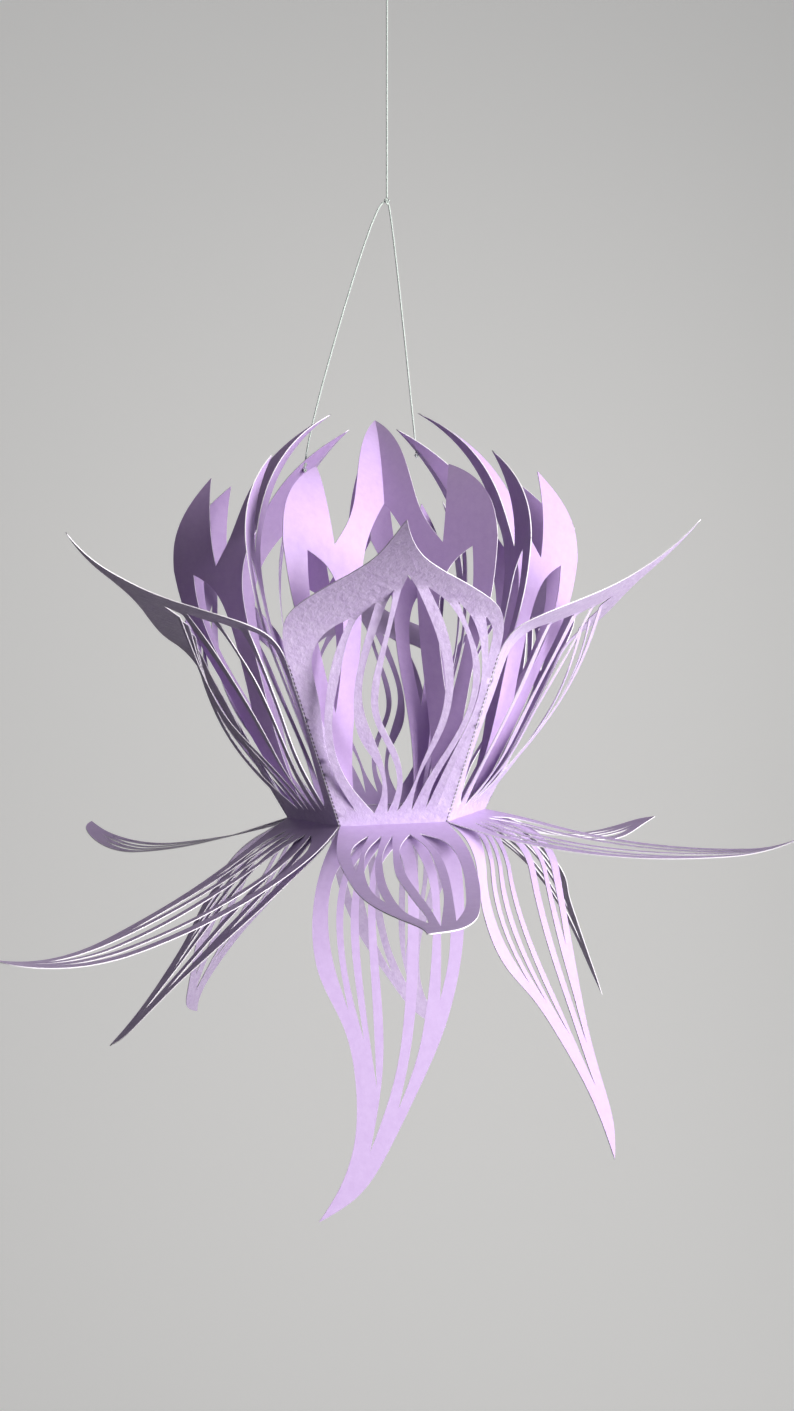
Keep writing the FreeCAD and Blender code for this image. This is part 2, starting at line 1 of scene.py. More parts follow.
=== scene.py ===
# %% [markdown]
# # Paper lotus lantern
# The lantern is a flower of thin lilac card that hangs on a thread. Six cup panels and six
# hanging leaves stand round a hexagon floor, and six pinched flame petals rise inside the cup.
# Every sheet starts flat: it is cut out, scored, folded, and drawn over a thumb until it curls.
# The script works the same way: each sheet is a flat outline that is bent along straight lines.
# A flame petal is made of two such outlines, which meet at its crease.

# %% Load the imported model
import math
import bpy
import numpy as np
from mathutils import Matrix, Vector, geometry


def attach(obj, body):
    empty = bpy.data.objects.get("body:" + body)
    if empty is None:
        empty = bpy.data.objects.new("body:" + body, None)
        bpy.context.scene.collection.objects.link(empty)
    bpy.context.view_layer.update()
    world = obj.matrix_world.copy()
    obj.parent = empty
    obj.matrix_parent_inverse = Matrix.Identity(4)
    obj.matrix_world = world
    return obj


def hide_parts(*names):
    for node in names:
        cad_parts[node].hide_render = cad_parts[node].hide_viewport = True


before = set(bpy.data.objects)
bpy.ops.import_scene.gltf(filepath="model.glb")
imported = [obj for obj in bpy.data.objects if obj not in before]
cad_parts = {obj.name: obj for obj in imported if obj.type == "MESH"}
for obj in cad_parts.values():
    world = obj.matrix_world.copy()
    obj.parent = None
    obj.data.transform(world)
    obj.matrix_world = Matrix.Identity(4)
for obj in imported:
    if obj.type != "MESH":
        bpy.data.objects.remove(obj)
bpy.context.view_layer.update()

# %% [markdown]
# ## Sizes
# All sizes are in millimetres above the middle of the floor, and become metres at the end.
# The flower hangs 324 mm under the ceiling and leans 2 degrees, its right side up.

# %% Sizes of the sheets
mm = 0.001
base_side = 36.0
card = 0.3
apothem = base_side * math.cos(math.radians(30.0))
half_base = base_side / 2.0
crease_raise = 0.5
hang_tilt = 2.0
ceiling_height = 324.0
corner_gap = 0.13
glue_line = 0.05
tab_width, tab_start, tab_end, tab_slope, tab_turn_in = 5.0, 5.0, 54.0, 5.0, 0.4
no_fold_near = 9.0      # distance that stands for a place with no fold beside it
dash_pitch = 1.5        # from one dash of a perforated fold to the next
panel_lean, fold_top, panel_tip = 25.3, 60.5, 131.0
fold_top_half = (apothem + fold_top * math.sin(math.radians(panel_lean))) * math.tan(math.radians(30.0))
leaf_length, hanging_length = 114.0, 120.0
pinch, petal_reach, petal_foot, petal_lean = 32.0, 15.48, 0.26, 17.0
stem_run, middle_run, lobe_run, tall_turn = 57.6, 36.0, 61.4, -55.0

panel_curls = {
    0: [(17.0, 25.0), (57.5, 40.0)],
    60: [(14.0, 40.0), (38.0, -10.0), (20.0, -12.0)],
    120: [(14.0, 14.0), (38.0, 0.0), (20.0, -4.0)],
    180: [(14.0, 30.0), (38.0, -4.0), (20.0, -16.0)],
    240: [(14.0, -4.0), (38.0, -8.0), (20.0, -2.0)],
    300: [(14.0, 38.0), (40.0, -6.0), (18.0, -25.0)],
}
tendril_bows = {0: 4.0, 60: 3.5, 120: 3.5, 180: 4.0, 240: 4.5, 300: 3.5}
leaf_bends = {
    0: (119.5, 0.0, [(21.6, -20.0), (92.4, -15.0)]),
    60: (103.5, -7.4, [(20.0, 0.0), (70.0, -18.0), (20.0, -24.0)]),
    120: (112.0, -3.0, [(14.0, 0.0), (60.0, -16.0), (36.0, -24.0)]),
    180: (116.0, 3.0, [(14.0, 0.0), (60.0, -18.0), (36.0, -20.0)]),
    240: (107.0, 4.0, [(14.0, 0.0), (60.0, -12.0), (36.0, -34.0)]),
    300: (122.0, 3.6, [(8.0, 0.0), (69.0, -18.6), (36.0, -30.0)]),
}
hanging_bends = {
    0: (124.3, 0.0, [(8.0, 0.0), (29.6, 33.1), (78.0, 13.6)]),
    60: (110.0, -18.0, [(8.0, 0.0), (20.0, 66.0), (90.0, -34.0)]),
    120: (114.0, -31.0, [(8.0, 0.0), (50.0, 40.0), (44.0, 21.0)]),
    180: (122.0, 0.0, [(8.0, 0.0), (30.0, 38.0), (80.0, 6.0)]),
    240: (118.0, -14.0, [(8.0, 0.0), (26.0, 30.0), (86.0, -10.0)]),
    300: (126.5, -35.0, [(8.0, 0.0), (48.0, 14.0), (42.0, 8.0)]),
}
hanging_share = {120: 0.83, 300: 0.8}
petal_set = {
    0: (0.0, -20.0, -96.0, -96.0),
    60: (3.0, -14.0, -58.0, -36.0),
    120: (1.5, -19.0, -42.0, -42.0),
    180: (0.0, -20.0, -52.0, -52.0),
    240: (-1.5, -19.0, -42.0, -42.0),
    300: (-3.0, -14.0, -36.0, -58.0),
}
print("star sheet across: %.0f mm" % (2.0 * (apothem + hanging_length)))

# %% [markdown]
# ## Bending a flat sheet
# A curl made by hand bends the card along straight lines and never stretches it. So a bend is
# a list of runs, each with a length and a turn, and a flat point (across, up) goes to one place.

# %% The bent sheet


def path_at(runs, s):
    """Forward, rise and slope of the middle line at the flat lengths s."""
    s = np.asarray(s, float)
    w, h, a = np.where(s < 0.0, s, 0.0), np.zeros_like(s), np.zeros_like(s)
    left = np.clip(s, 0.0, None)
    for length, turn in runs + [(1000.0, 0.0)]:
        step, full = np.clip(left, 0.0, length), math.radians(turn)
        b = a + full * step / length
        middle = (a + b) / 2.0
        chord = step * np.sinc((b - a) / (2.0 * math.pi))
        w, h, a = w + chord * np.cos(middle), h - chord * np.sin(middle), b
        left = left - step
    return w, h, a


class Sheet:
    """A flat sheet standing on a horizontal foot line and bent along straight lines."""

    def __init__(self, azimuth, reach, height, lean, runs, swing=0.0, lift=0.0):
        az, le, sw = math.radians(azimuth), math.radians(lean), math.radians(swing)
        outward = np.array([math.sin(az), -math.cos(az), 0.0])
        across = np.array([math.cos(az), math.sin(az), 0.0])
        up = np.array([0.0, 0.0, 1.0])
        along = outward * math.sin(le) + up * math.cos(le)
        self.face = up * math.sin(le) - outward * math.cos(le)
        self.origin = outward * reach + up * height + self.face * lift
        self.forward = along * math.cos(sw) + across * math.sin(sw)
        self.sideways = across * math.cos(sw) - along * math.sin(sw)
        self.runs, self.sw, self.le = runs, sw, le

    def place(self, flat, off, free=None):
        """Points of the bent sheet for flat points (across, up), off its middle surface."""
        c, n = math.cos(self.sw), math.sin(self.sw)
        side, ahead = flat[:, 0] * c - flat[:, 1] * n, flat[:, 1] * c + flat[:, 0] * n
        w, h, a = free(self, flat) if free else path_at(self.runs, ahead)
        w, h = w + off * np.sin(a), h + off * np.cos(a)
        spot = self.origin + np.outer(side, self.sideways) + np.outer(w, self.forward)
        return spot + np.outer(h, self.face)

    def out(self, s):
        """Horizontal distance of the middle line from the foot line."""
        w, h, a = path_at(self.runs, s)
        return w * math.sin(self.le) - h * math.cos(self.le)


def hung(points):
    """Tilt the flower about the middle of its floor, drop it under the ceiling, go to metres."""
    t = math.radians(-hang_tilt)
    x = points[:, 0] * math.cos(t) + points[:, 2] * math.sin(t)
    z = points[:, 2] * math.cos(t) - points[:, 0] * math.sin(t)
    return np.stack([x, points[:, 1], z - ceiling_height], 1) * mm


front = Sheet(0, 0, 0, panel_lean, [(fold_top, 0.0)] + panel_curls[0])
print("front panel tip stands out %.0f mm" % front.out(panel_tip))

# %% [markdown]
# ## Cutting the outlines
# A blade follows smooth strokes, so each stroke is a smooth curve through a few points.
# The flat sheet inside the strokes is filled with small triangles, fine enough to bend.

# %% Strokes and triangles


def smooth(points, step):
    """Evenly spaced points of a natural cubic curve through the given ones."""
    p = np.array(points, float)
    if len(p) == 2:
        count = max(1, int(round(np.linalg.norm(p[1] - p[0]) / step)))
        return [tuple(p[0] + (p[1] - p[0]) * i / count) for i in range(count)]
    t = np.concatenate([[0.0], np.cumsum(np.linalg.norm(np.diff(p, axis=0), axis=1))])
    n, gap = len(p), np.diff(t)
    m, rhs = np.eye(n), np.zeros((n, 2))
    for i in range(1, n - 1):
        m[i, i - 1:i + 2] = gap[i - 1], 2.0 * (gap[i - 1] + gap[i]), gap[i]
        rhs[i] = 6.0 * ((p[i + 1] - p[i]) / gap[i] - (p[i] - p[i - 1]) / gap[i - 1])
    bend = np.linalg.solve(m, rhs)
    made = []
    for x in np.linspace(0.0, t[-1], max(4, int(t[-1] / step)) + 1)[:-1]:
        i = min(int(np.searchsorted(t, x, "right")) - 1, n - 2)
        a, b, g = t[i + 1] - x, x - t[i], gap[i]
        spot = (bend[i] * a ** 3 + bend[i + 1] * b ** 3) / (6.0 * g)
        spot = spot + (p[i] / g - bend[i] * g / 6.0) * a
        made.append(tuple(spot + (p[i + 1] / g - bend[i + 1] * g / 6.0) * b))
    return made


def loop(strokes, step=1.6):
    """Closed outline from strokes, as a list of points."""
    return [q for stroke in strokes for q in smooth(stroke, step)]


def inside(points, loops):
    """Which points lie in the outline and in none of its slots."""
    hit = np.zeros(len(points), bool)
    x, y = points[:, 0], points[:, 1]
    for ring in loops:
        a, b = np.array(ring), np.roll(np.array(ring), -1, axis=0)
        for (x0, y0), (x1, y1) in zip(a, b):
            if y0 != y1:
                crossing = (y0 > y) != (y1 > y)
                hit ^= crossing & (x < (x1 - x0) * (y - y0) / (y1 - y0) + x0)
    return hit


def fill(loops, step=2.2):
    """Triangulate the flat sheet: its points, its triangles and its boundary edges."""
    rim = np.array([q for ring in loops for q in ring])
    low, high = rim.min(0), rim.max(0)
    rows = np.arange(low[1], high[1], step * 0.87)
    grid = [(x + (step / 2.0 if k % 2 else 0.0), y) for k, y in enumerate(rows)
            for x in np.arange(low[0], high[0], step)]
    grid = np.array(grid)
    grid = grid[inside(grid, loops)]
    near = np.array([np.min(np.sum((rim - g) ** 2, axis=1)) for g in grid]) if len(grid) else np.array([])
    grid = grid[near > (0.55 * step) ** 2] if len(grid) else grid
    points = [Vector(q) for q in np.concatenate([rim, grid])] if len(grid) else [Vector(q) for q in rim]
    edges, start = [], 0
    for ring in loops:
        edges += [(start + i, start + (i + 1) % len(ring)) for i in range(len(ring))]
        start += len(ring)
    spots, _, faces = geometry.delaunay_2d_cdt(points, edges, [], 0, 1e-5)[:3]
    flat = np.array([tuple(spot) for spot in spots])
    faces = np.array(faces)
    faces = faces[inside(flat[faces].mean(axis=1), loops)]
    sides = [(int(face[i]), int(face[(i + 1) % 3])) for face in faces for i in range(3)]
    known = set(sides)
    rims = [(i, j) for i, j in sides if (j, i) not in known]
    return flat, faces, rims


def mirrored(points):
    """The same stroke on the other side, walked backwards."""
    return [(-u, s) for u, s in reversed(points)]


def wires(slots):
    """Closed slots from their left and right edges."""
    return [[left, list(reversed(right))] for left, right in slots]


# %% [markdown]
# ## Card
# Lilac craft card has a felt face with soft pits, and a smoother back. Every cut edge is painted
# near white, a painted highlight for the light that catches the cut. Folds are perforated first, so that they
# bend in one line: each leaves a row of tiny holes, painted as near-black dashes of painted shade.

# %% Card, thread and hook materials


def shader(name, colour, roughness):
    material = bpy.data.materials.new(name)
    material.use_nodes = True
    tree = material.node_tree
    surface = tree.nodes["Principled BSDF"]
    surface.inputs["Base Color"].default_value = (*colour, 1.0)
    surface.inputs["Roughness"].default_value = roughness
    return material, tree, surface


def noise(tree, scale, detail=3.0, roughness=0.55):
    place = tree.nodes.new("ShaderNodeTexCoord")
    node = tree.nodes.new("ShaderNodeTexNoise")
    node.inputs["Scale"].default_value = scale
    node.inputs["Detail"].default_value = detail
    node.inputs["Roughness"].default_value = roughness
    tree.links.new(place.outputs["Object"], node.inputs["Vector"])
    return node.outputs["Fac"]


def between(tree, value, low, high):
    """Colour between two, by a value from 0 to 1."""
    mix = tree.nodes.new("ShaderNodeMix")
    mix.data_type = "RGBA"
    mix.inputs["A"].default_value = (*low, 1.0)
    mix.inputs["B"].default_value = (*high, 1.0)
    tree.links.new(value, mix.inputs["Factor"])
    return mix.outputs["Result"]


def stretch(tree, value, low, high):
    node = tree.nodes.new("ShaderNodeMapRange")
    node.inputs["From Min"].default_value = low
    node.inputs["From Max"].default_value = high
    tree.links.new(value, node.inputs["Value"])
    return node.outputs["Result"]


def bump(tree, surface, value, depth):
    node = tree.nodes.new("ShaderNodeBump")
    node.inputs["Distance"].default_value = depth
    tree.links.new(value, node.inputs["Height"])
    tree.links.new(node.outputs["Normal"], surface.inputs["Normal"])


def card_face(name, pale, deep, pit_scale, pit_depth, perforated):
    """Fibre mottling in the colour, pits in the surface, and near-black dashes beside a fold: real
    perforation holes, their darkness painted shade.
    """
    material, tree, surface = shader(name, pale, 0.62)
    surface.inputs["Specular IOR Level"].default_value = 0.3
    surface.inputs["Sheen Weight"].default_value = 0.06
    colour = between(tree, stretch(tree, noise(tree, 420.0, 5.0, 0.7), 0.32, 0.68), deep, pale)
    if perforated:
        seam = tree.nodes.new("ShaderNodeUVMap")
        seam.uv_map = "fold"
        parts = tree.nodes.new("ShaderNodeSeparateXYZ")
        tree.links.new(seam.outputs["UV"], parts.inputs["Vector"])
        dash = tree.nodes.new("ShaderNodeMath")
        dash.operation = "FRACT"
        tree.links.new(parts.outputs["Y"], dash.inputs[0])
        gap = tree.nodes.new("ShaderNodeMath")
        gap.operation = "MULTIPLY"
        tree.links.new(stretch(tree, dash.outputs[0], 0.62, 0.52), gap.inputs[0])
        tree.links.new(stretch(tree, parts.outputs["X"], 0.62, 0.30), gap.inputs[1])
        # Painted shade: the perforation holes are drawn as near-black dashes for the shade seen through them.
        painted_hole_shade = tree.nodes.new("ShaderNodeMix")
        painted_hole_shade.data_type = "RGBA"
        painted_hole_shade.inputs["B"].default_value = (0.05, 0.03, 0.08, 1.0)
        tree.links.new(gap.outputs[0], painted_hole_shade.inputs["Factor"])
        tree.links.new(colour, painted_hole_shade.inputs["A"])
        colour = painted_hole_shade.outputs["Result"]
    tree.links.new(colour, surface.inputs["Base Color"])
    rough = stretch(tree, noise(tree, 260.0), -0.6, 1.7)
    tree.links.new(rough, surface.inputs["Roughness"])
    bump(tree, surface, noise(tree, pit_scale, 4.0, 0.6), pit_depth)
    return material


felt_face = card_face("felt_face", (0.66, 0.55, 0.78), (0.55, 0.43, 0.68), 620.0, 0.00030, True)
plain_face = card_face("plain_face", (0.60, 0.46, 0.74), (0.55, 0.41, 0.69), 900.0, 0.00004, True)
flame_face = card_face("flame_face", (0.57, 0.41, 0.71), (0.52, 0.36, 0.67), 900.0, 0.00004, False)


def cut_edge_highlight():
    # Painted highlight: the cut edge is coloured near white for the light that catches it, not for a paler
    # core.
    material, tree, surface = shader("cut_edge_highlight", (0.94, 0.91, 0.96), 0.8)
    grain = stretch(tree, noise(tree, 1500.0), 0.3, 0.7)
    tree.links.new(between(tree, grain, (0.90, 0.86, 0.94), (0.97, 0.95, 0.98)), surface.inputs["Base Color"])
    bump(tree, surface, grain, 0.00003)
    return material


def thread_finish():
    material, tree, surface = shader("twisted_thread", (0.55, 0.62, 0.58), 0.55)
    surface.inputs["Sheen Weight"].default_value = 0.4
    strand = stretch(tree, noise(tree, 2400.0), 0.35, 0.65)
    colour = between(tree, strand, (0.42, 0.50, 0.46), (0.68, 0.74, 0.70))
    tree.links.new(colour, surface.inputs["Base Color"])
    bump(tree, surface, strand, 0.00010)
    return material


def hook_finish():
    material, tree, surface = shader("painted_hook", (0.80, 0.80, 0.77), 0.3)
    surface.inputs["Coat Weight"].default_value = 0.4
    wear = stretch(tree, noise(tree, 300.0), 0.45, 0.75)
    tree.links.new(between(tree, wear, (0.80, 0.80, 0.77), (0.66, 0.66, 0.63)), surface.inputs["Base Color"])
    bump(tree, surface, noise(tree, 800.0), 0.00002)
    return material


edge_highlight = cut_edge_highlight()
thread_material = thread_finish()
hook_material = hook_finish()
print("materials:", sorted(m.name for m in bpy.data.materials))

# %% [markdown]
# ## From flat sheet to thick card
# Each sheet gets its two faces, half a card thickness to each side, and a narrow wall along every
# cut, painted near white as a highlight. The sheets of one piece are then joined in one mesh.

# %% The piece builder


class Piece:
    """Collects the sheets of one folded piece and makes them one mesh."""

    def __init__(self, name, materials):
        self.name, self.materials = name, materials
        self.spots, self.faces, self.kinds, self.folds = [], [], [], []

    def add(self, sheet, loops, free=None, fold=None, step=2.2):
        """Cut the loops, bend the sheet, and give it its thickness."""
        flat, faces, rims = fill(loops, step)
        first, back = sum(len(s) for s in self.spots), len(flat)
        self.spots += [sheet.place(flat, card / 2.0, free), sheet.place(flat, -card / 2.0, free)]
        seam = fold(flat) if fold else np.full(len(flat), no_fold_near)
        self.folds += [np.stack([seam, flat[:, 1] / dash_pitch], 1)] * 2
        a, b, c = faces.T + first
        self.faces += [(int(i), int(j), int(k)) for i, j, k in zip(a, b, c)]
        self.faces += [(int(i) + back, int(k) + back, int(j) + back) for i, j, k in zip(a, b, c)]
        self.kinds += [0] * len(a) + [1] * len(a)
        self.faces += [(j + first, i + first, i + first + back, j + first + back) for i, j in rims]
        self.kinds += [2] * len(rims)

    def build(self):
        mesh = bpy.data.meshes.new(self.name)
        mesh.from_pydata(hung(np.concatenate(self.spots)).tolist(), [], self.faces)
        for material in self.materials:
            mesh.materials.append(material)
        kinds = np.array(self.kinds, np.int32)
        mesh.polygons.foreach_set("material_index", kinds)
        mesh.polygons.foreach_set("use_smooth", np.ones(len(kinds), bool))
        seams = np.concatenate(self.folds)
        corner = np.zeros(len(mesh.loops), np.int32)
        mesh.loops.foreach_get("vertex_index", corner)
        mesh.uv_layers.new(name="fold").data.foreach_set("uv", seams[corner].ravel())
        mesh.update()
        sides = {}
        for polygon in mesh.polygons:
            for key in polygon.edge_keys:
                sides.setdefault(key, set()).add(polygon.material_index)
        for edge in mesh.edges:
            edge.use_edge_sharp = len(sides.get(tuple(sorted(edge.vertices)), ())) > 1
        piece = bpy.data.objects.new(self.name, mesh)
        bpy.context.scene.collection.objects.link(piece)
        return piece


def finish_piece(piece, node):
    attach(piece, "root")
    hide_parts(node)
    print(piece.name, "triangles", sum(len(p.vertices) - 2 for p in piece.data.polygons))


# %% [markdown]
# ## Cup panels
# Each outer petal is one sheet: a panel with a window of six wavy tendrils, a curled leaf
# below the crease, and a glue tab behind its neighbour.

# %% Outlines of the outer petals
root = card / 2.0


def half_wall(s):
    return half_base + (fold_top_half - half_base) * s / fold_top


side_top = (fold_top_half - corner_gap, fold_top)
panel_side = [side_top, (33.7, 67.0), (32.0, 77.0), (25.5, 84.8), (14.5, 94.5)]
panel_beak = [(14.5, 94.5), (7.6, 102.5), (4.0, 110.5), (1.5, 121.0), (0.0, panel_tip)]
panel_outline = [
    [(-half_base + corner_gap, -root), (half_base - corner_gap, -root)],
    [(half_base - corner_gap, -root), side_top],
    panel_side,
    panel_beak,
    mirrored(panel_beak),
    mirrored(panel_side),
    [(-side_top[0], side_top[1]), (-half_base + corner_gap, -root)],
]
tendril_slots = [
    ([(-13.5, 75.2), (-20.0, 70.8), (-25.0, 62.0), (-23.6, 48.0), (-22.6, 37.0), (-19.6, 21.0), (-11.9, 4.8)],
     [(-13.5, 75.2), (-18.3, 64.2), (-21.0, 52.0), (-22.0, 38.0), (-18.9, 20.6), (-11.9, 4.8)]),
    ([(-5.7, 82.0), (-11.6, 74.6), (-16.6, 59.0), (-19.6, 41.0), (-15.2, 19.2), (-6.4, 4.6)],
     [(-5.7, 82.0), (-8.3, 73.5), (-12.6, 53.5), (-11.1, 36.6), (-5.1, 23.9), (-4.2, 12.0), (-6.4, 4.6)]),
    ([(-0.6, 87.2), (-4.4, 76.5), (-8.6, 63.9), (-10.2, 50.0), (-4.6, 29.5), (-2.2, 14.0), (-2.0, 4.6)],
     [(-0.6, 87.2), (-3.2, 74.0), (-6.9, 59.1), (-7.3, 47.0), (-1.8, 31.3), (0.9, 16.6), (-2.0, 4.6)]),
    ([(3.2, 94.4), (0.4, 83.0), (-4.7, 59.1), (-5.0, 46.0), (0.5, 31.2), (2.6, 15.0), (1.2, 4.8)],
     [(3.2, 94.4), (8.0, 83.5), (14.4, 63.0), (14.7, 49.0), (8.3, 25.2), (4.2, 11.0), (1.2, 4.8)]),
    ([(9.1, 88.4), (14.2, 77.0), (17.4, 60.0), (15.6, 41.7), (7.8, 19.5), (6.0, 4.8)],
     [(9.1, 88.4), (18.3, 77.5), (23.5, 62.0), (22.0, 44.5), (11.2, 19.9), (6.0, 4.8)]),
    ([(18.8, 81.2), (23.0, 70.6), (25.7, 61.0), (24.6, 47.0), (18.0, 29.4), (12.7, 16.0), (10.7, 5.2)],
     [(18.8, 81.2), (24.2, 73.0), (26.7, 62.6), (25.6, 48.0), (19.3, 30.4), (14.4, 16.6), (10.7, 5.2)]),
    ([(27.6, 75.0), (28.3, 69.9), (28.7, 61.0), (27.4, 48.0), (21.9, 31.6), (14.3, 5.7)],
     [(27.6, 75.0), (30.2, 69.9), (29.7, 61.0), (28.3, 48.0), (23.0, 31.6), (14.3, 5.7)]),
]
leaf_left = [(-half_base + corner_gap, -root), (-18.6, 4.0), (-19.4, 14.0), (-17.6, 38.0), (-12.9, 67.7),
             (-4.6, 94.6), (-1.4, 108.0), (-1.4, leaf_length)]
leaf_right = [(-1.4, leaf_length), (4.8, 111.0), (9.6, 104.0), (15.7, 82.1), (19.6, 58.0), (22.0, 30.0),
              (20.8, 8.5), (half_base - corner_gap, -root)]
leaf_outline = [[(half_base - corner_gap, -root), (-half_base + corner_gap, -root)], leaf_left, leaf_right]
leaf_slots = [
    ([(-8.7, 6.4), (-13.4, 12.0), (-15.0, 24.2), (-14.3, 36.0)],
     [(-8.7, 6.4), (-11.7, 17.3), (-12.9, 26.7), (-14.3, 36.0)]),
    ([(-4.5, 6.8), (-8.8, 14.1), (-11.4, 28.0), (-11.6, 47.0), (-10.2, 61.0), (-7.7, 71.0)],
     [(-4.5, 6.8), (-6.8, 20.0), (-8.3, 33.0), (-8.8, 47.5), (-8.5, 60.0), (-7.7, 71.0)]),
    ([(-1.0, 7.1), (-4.0, 15.5), (-5.9, 31.0), (-6.2, 48.0), (-5.3, 68.0), (-3.1, 85.7), (0.6, 99.0)],
     [(-1.0, 7.1), (-2.1, 23.8), (-2.6, 42.0), (-1.2, 58.0), (0.2, 75.0), (1.0, 88.0), (0.6, 99.0)]),
    ([(4.9, 6.5), (1.9, 12.0), (0.1, 24.0), (0.4, 43.0), (1.8, 60.0), (3.0, 80.0), (2.9, 104.0)],
     [(4.9, 6.5), (8.5, 13.4), (10.1, 27.0), (9.8, 45.0), (8.6, 64.0), (5.9, 84.0), (2.9, 104.0)]),
    ([(8.2, 6.4), (11.0, 14.4), (12.7, 26.0), (12.6, 43.0), (11.0, 64.0), (7.4, 98.0)],
     [(8.2, 6.4), (14.9, 11.5), (17.9, 24.0), (17.2, 43.0), (15.0, 62.0), (11.6, 83.0), (7.4, 98.0)]),
]
print("slots per panel:", len(tendril_slots), "and per leaf:", len(leaf_slots))

# %% [markdown]
# A tendril is the strip between the right edge of one slot and the left edge of the next.
# The panel curls away behind it, so it is pulled straight between its two roots, like the
# string of a bow, with a little slack that bows it outwards.

# %% Free path of the tendrils
edge_reach = 0.15       # a tendril's own edge points are found this far outside it


def edge_at(stroke, s):
    """Where a slot's edge lies across the sheet at the flat heights s."""
    q = np.array(smooth(stroke, 1.0) + [stroke[-1]])
    order = np.argsort(q[:, 1])
    return np.interp(s, q[order, 1], q[order, 0])


def strung(slack):
    """Path of each flat point of a panel: on the curl, or on a tendril's own line."""

    def free(panel, flat):
        u, s = flat[:, 0], flat[:, 1]
        w, h, a = path_at(panel.runs, s)
        for (_, right), (left, _) in zip(tendril_slots, tendril_slots[1:]):
            low = max(right[-1][1], left[-1][1])
            high = min(right[0][1], left[0][1])
            (w0, w1), (h0, h1), _ = path_at(panel.runs, [low, high])
            here = (s > low) & (s < high)
            here &= (u > edge_at(right, s) - edge_reach) & (u < edge_at(left, s) + edge_reach)
            t = np.clip((s - low) / (high - low), 0.0, 1.0)
            w = np.where(here, w0 + (w1 - w0) * t, w)
            h = np.where(here, h0 + (h1 - h0) * t - slack * np.sin(math.pi * t), h)
            a = np.where(here, np.arctan2(h0 - h1 + slack * math.pi * np.cos(math.pi * t), w1 - w0), a)
        return w, h, a

    return free


def panel_fold(flat):
    """Distance to the nearest side fold, and none near above the fold top."""
    u, s = flat[:, 0], flat[:, 1]
    side = half_wall(s) - np.abs(u)
    return np.where(s > fold_top, no_fold_near, np.minimum(side, no_fold_near))


def outer_petal(number, angle):
    piece = Piece("petal_sheet_%d" % number, [plain_face, felt_face, edge_highlight])
    panel = Sheet(angle, apothem, crease_raise, panel_lean, [(fold_top, 0.0)] + panel_curls[angle])
    loops = [loop(panel_outline)] + [loop(wire, 1.2) for wire in wires(tendril_slots)]
    piece.add(panel, loops, strung(tendril_bows[angle]), panel_fold)
    lean, swing, bends = leaf_bends[angle]
    leaf = Sheet(angle, apothem, crease_raise, lean, bends, swing)
    piece.add(leaf, [loop(leaf_outline)] + [loop(wire, 1.2) for wire in wires(leaf_slots)])
    behind = Sheet(angle + 60, apothem, crease_raise, panel_lean, [(fold_top, 0.0)], 0.0, card + glue_line)
    low, high = tab_start + tab_slope, tab_end - tab_slope
    corners = [(-half_wall(tab_start) - tab_turn_in, tab_start), (-half_wall(low) + tab_width, low),
               (-half_wall(high) + tab_width, high), (-half_wall(tab_end) - tab_turn_in, tab_end)]
    piece.add(behind, [loop([[corners[i], corners[(i + 1) % 4]] for i in range(4)], 4.0)], step=5.0)
    return piece.build()


for number, angle in enumerate(sorted(panel_curls), 1):
    finish_piece(outer_petal(number, angle), "outer_petal_%d" % number)

# %% [markdown]
# ## Floor with the hanging leaves
# The floor and its six long leaves are one sheet, taken to be a 12 inch square of card.
# Each leaf drops from a crease and sweeps to one side, with six slots along it.

